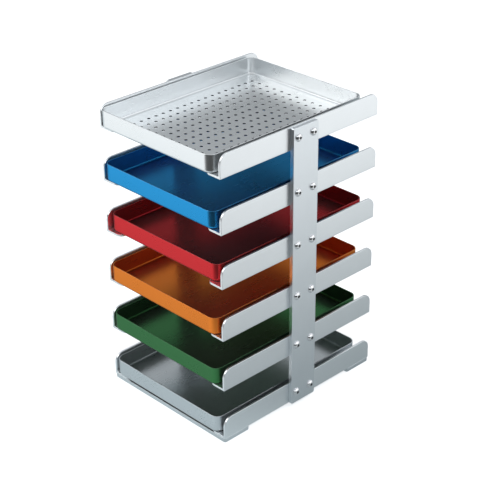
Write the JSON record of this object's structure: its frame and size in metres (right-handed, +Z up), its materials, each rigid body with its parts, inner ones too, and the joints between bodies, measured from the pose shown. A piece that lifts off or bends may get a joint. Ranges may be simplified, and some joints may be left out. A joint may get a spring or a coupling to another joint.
{
  "type": "instrument tray rack",
  "caption": "Free-standing open rack of angle rails on two upright flat bars, holding a stack of shallow slide-in instrument trays, the top one perforated.",
  "frame": {"origin": "middle of the rack's footprint, level with the undersides of the foot strips", "axes": "+Z up, +X to the right, -Y to the front, where the trays' short sides show and they pull out"},
  "size_m": [0.1634, 0.1931, 0.2775],
  "materials": {
    "rail_aluminium": "satin clear anodised",
    "bar_aluminium": "satin clear anodised",
    "tray_plain": "satin clear anodised",
    "tray_grey": "satin clear anodised",
    "tray_blue": "satin blue anodised",
    "tray_red": "satin red anodised",
    "tray_orange": "satin orange anodised",
    "tray_green": "satin green anodised",
    "screw_steel": "bright stainless"
  },
  "bodies": {
    "rack": {"upright_bar_left": "bar_aluminium", "upright_bar_right": "bar_aluminium", "foot_strip_front": "bar_aluminium", "foot_strip_rear": "bar_aluminium", "rail_right_1": "rail_aluminium", "rail_left_1": "rail_aluminium", "rail_right_2": "rail_aluminium", "rail_left_2": "rail_aluminium", "rail_right_3": "rail_aluminium", "rail_left_3": "rail_aluminium", "rail_right_4": "rail_aluminium", "rail_left_4": "rail_aluminium", "rail_right_5": "rail_aluminium", "rail_left_5": "rail_aluminium", "rail_right_6": "rail_aluminium", "rail_left_6": "rail_aluminium", "bar_screws_left": "screw_steel", "bar_screws_right": "screw_steel", "foot_screws_front": "screw_steel", "foot_screws_rear": "screw_steel"},
    "tray_body_1": {"tray_1": "tray_grey"},
    "tray_body_2": {"tray_2": "tray_green"},
    "tray_body_3": {"tray_3": "tray_orange"},
    "tray_body_4": {"tray_4": "tray_red"},
    "tray_body_5": {"tray_5": "tray_blue"},
    "tray_body_6": {"tray_6": "tray_plain"}
  },
  "joints": [
    {"name": "tray_1_slide", "type": "slide", "parent": "rack", "child": "tray_body_1", "axis": [0, -1, 0], "range_m": [-0.085, 0.085]},
    {"name": "tray_2_slide", "type": "slide", "parent": "rack", "child": "tray_body_2", "axis": [0, -1, 0], "range_m": [-0.085, 0.085]},
    {"name": "tray_3_slide", "type": "slide", "parent": "rack", "child": "tray_body_3", "axis": [0, -1, 0], "range_m": [-0.085, 0.085]},
    {"name": "tray_4_slide", "type": "slide", "parent": "rack", "child": "tray_body_4", "axis": [0, -1, 0], "range_m": [-0.085, 0.085]},
    {"name": "tray_5_slide", "type": "slide", "parent": "rack", "child": "tray_body_5", "axis": [0, -1, 0], "range_m": [-0.085, 0.085]},
    {"name": "tray_6_slide", "type": "slide", "parent": "rack", "child": "tray_body_6", "axis": [0, -1, 0], "range_m": [-0.085, 0.085]}
  ]
}
